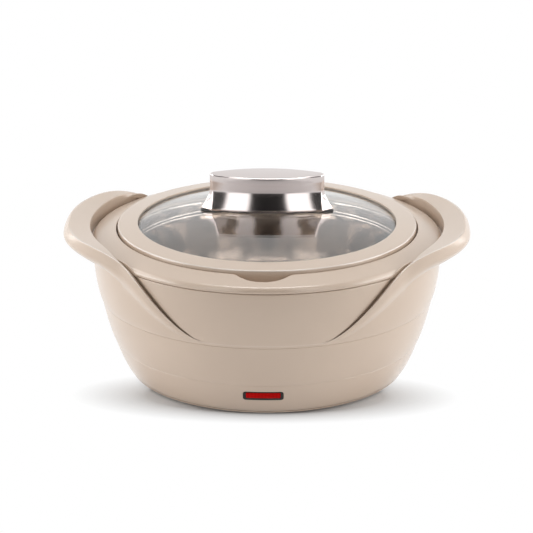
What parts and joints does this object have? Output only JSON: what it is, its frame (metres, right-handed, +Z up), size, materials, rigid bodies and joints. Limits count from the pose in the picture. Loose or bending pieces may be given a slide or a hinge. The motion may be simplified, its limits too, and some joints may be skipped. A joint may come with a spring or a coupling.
{
  "type": "electric casserole",
  "caption": "Round electric food warmer with petal handles moulded into its shell, a stepped steel bowl, a lift-off domed glass lid with a polished boat-shaped knob, and a red indicator.",
  "frame": {"origin": "on the table under the pot's centre", "axes": "+X along the handles, +Y towards the back where the inlet is, +Z up; the indicator faces -Y"},
  "size_m": [0.31, 0.266, 0.156],
  "materials": {
    "shell": "pale beige moulded plastic, satin to glossy",
    "steel": "plain steel, lightly brushed round the axis",
    "foam": "rigid foam, matt",
    "aluminium": "plain sheet",
    "element": "oxidised sheet",
    "mica": "pressed sheet",
    "brass": "plain",
    "dark_plastic": "moulded, satin",
    "ceramic": "plain",
    "red_lens": "clear red, polished",
    "lamp_glass": "clear",
    "lead_sleeve": "woven sleeve over wire",
    "rubber": "matt",
    "glass": "clear, polished",
    "chrome": "mirror polished"
  },
  "bodies": {
    "base": {"outer_body": "shell", "rim_collar": "shell", "liner_bowl": "steel", "foam_insulation": "foam", "heater_plate": "aluminium", "heating_element": "element", "mica_sheet": "mica", "clamp_plate": "steel", "clamp_studs": "steel", "clamp_nuts": "brass", "thermostat": "dark_plastic", "thermostat_screws": "steel", "thermal_fuse": "ceramic", "fuse_clip": "steel", "indicator_bezel": "dark_plastic", "indicator_lens": "red_lens", "neon_lamp": "lamp_glass", "inlet_socket": "dark_plastic", "inlet_pins": "brass", "wiring": "lead_sleeve", "base_cover": "shell", "base_screws": "steel", "rubber_feet": "rubber"},
    "lid": {"lid_ring": "shell", "glass_gasket": "rubber", "lid_glass": "glass", "lid_retainer": "steel", "knob_seat": "rubber", "knob_shell": "chrome", "knob_core": "dark_plastic", "screw_grommet": "rubber", "screw_washer": "steel", "knob_screw": "steel"}
  },
  "joints": [
    {"name": "lid_lift", "type": "slide", "parent": "base", "child": "lid", "axis": [0, 0, 1], "range_m": [0, 0.12]}
  ]
}
